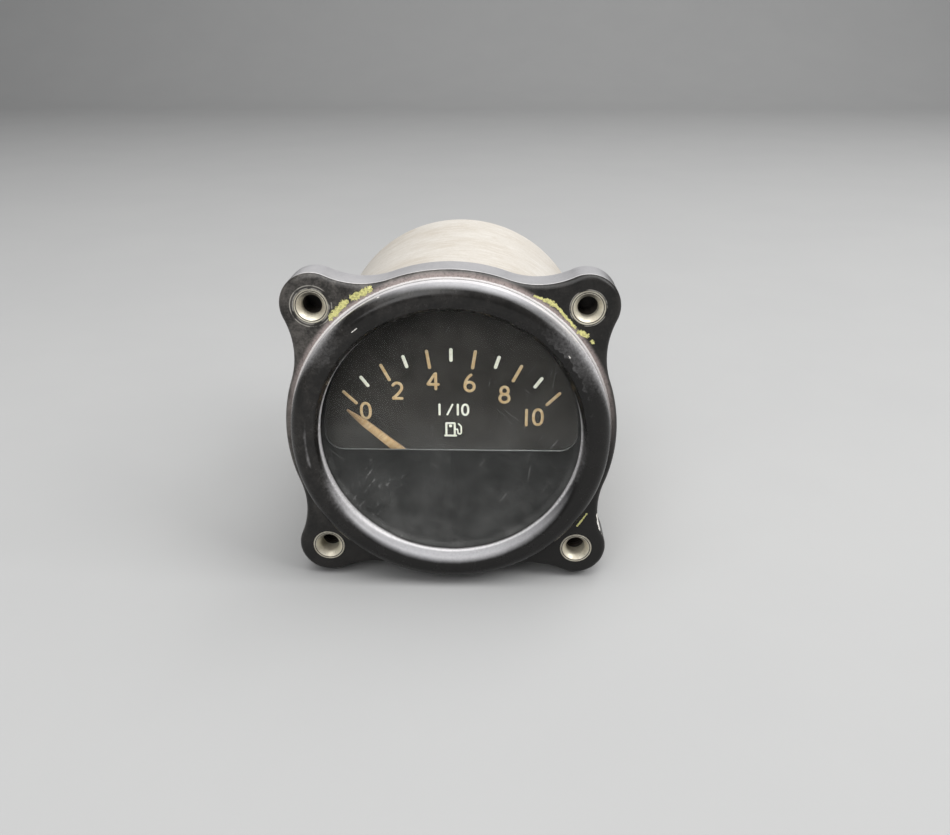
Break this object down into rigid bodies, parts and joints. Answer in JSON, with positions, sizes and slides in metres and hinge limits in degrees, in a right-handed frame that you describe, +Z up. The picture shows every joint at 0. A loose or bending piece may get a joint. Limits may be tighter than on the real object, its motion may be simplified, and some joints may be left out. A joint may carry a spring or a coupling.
{
  "type": "aircraft fuel gauge",
  "caption": "Round panel fuel gauge: eared black flange and bezel, glass over a masked dial with a swinging pointer, metal case with a coil movement, and terminal studs at the back.",
  "frame": {"origin": "on the gauge's axis, in the front face of the mounting flange, at the middle of the four panel screws", "axes": "+X to the right seen from the front, +Y along the axis from the dial to the terminals, +Z up"},
  "size_m": [0.0598, 0.0778, 0.0598],
  "materials": {
    "black_paint": "worn satin black paint over yellow-green primer",
    "insert_metal": "plated brass, dulled",
    "gasket_rubber": "matt",
    "cover_glass": "clear, dusty and scratched",
    "dial_black": "matt black",
    "lume": "aged luminous paint, matt tan",
    "brass": "turned brass, dulled",
    "steel": "plain steel",
    "soft_iron": "plated soft iron",
    "copper_wire": "enamelled copper wire",
    "resistance_wire": "bare resistance wire",
    "phenolic": "brown moulded and laminated phenolic",
    "case_metal": "drawn aluminium, dull warm grey with stains"
  },
  "bodies": {
    "gauge": {"mounting_flange": "black_paint", "screw_inserts": "insert_metal", "bezel_ring": "black_paint", "glass_gasket": "gasket_rubber", "cover_glass": "cover_glass", "dial_mask": "dial_black", "dial_spacer": "dial_black", "dial_plate": "dial_black", "dial_screws": "steel", "pointer_stops": "brass", "front_plate": "brass", "plate_screws": "steel", "front_bearing": "brass", "pillars": "brass", "rear_plate": "brass", "jewel_screw": "brass", "jewel_lock_nut": "brass", "coil_yoke": "soft_iron", "coil_cores": "soft_iron", "core_screws": "steel", "coil_bobbins": "phenolic", "coil_windings": "copper_wire", "board_posts": "brass", "resistor_board": "phenolic", "board_screws": "steel", "resistor_spools": "phenolic", "resistor_windings": "resistance_wire", "coil_leads": "copper_wire", "terminal_leads": "copper_wire", "case_gasket": "gasket_rubber", "case_shell": "case_metal", "case_screws": "steel", "terminal_plate": "phenolic", "terminal_gasket": "gasket_rubber", "inner_insulator": "phenolic", "terminal_studs": "brass", "stud_washers": "insert_metal", "stud_nuts": "brass"},
    "pointer_assembly": {"pointer": "lume", "pointer_bush": "brass", "balance_weight": "brass", "staff": "steel", "armature": "soft_iron", "hairspring_collet": "brass"},
    "zero_adjuster": {"zero_lever": "brass", "hairspring": "copper_wire"}
  },
  "joints": [
    {"name": "pointer_swing", "type": "hinge", "parent": "gauge", "child": "pointer_assembly", "pos_m": [0, 0, -0.0128], "axis": [0, 1, 0], "range_deg": [0, 99], "stiffness_Nm_per_rad": 0.00002, "springref_deg": -11.46},
    {"name": "zero_adjust", "type": "hinge", "parent": "gauge", "child": "zero_adjuster", "pos_m": [0, 0, -0.0128], "axis": [0, 1, 0], "range_deg": [-8, 8]}
  ]
}
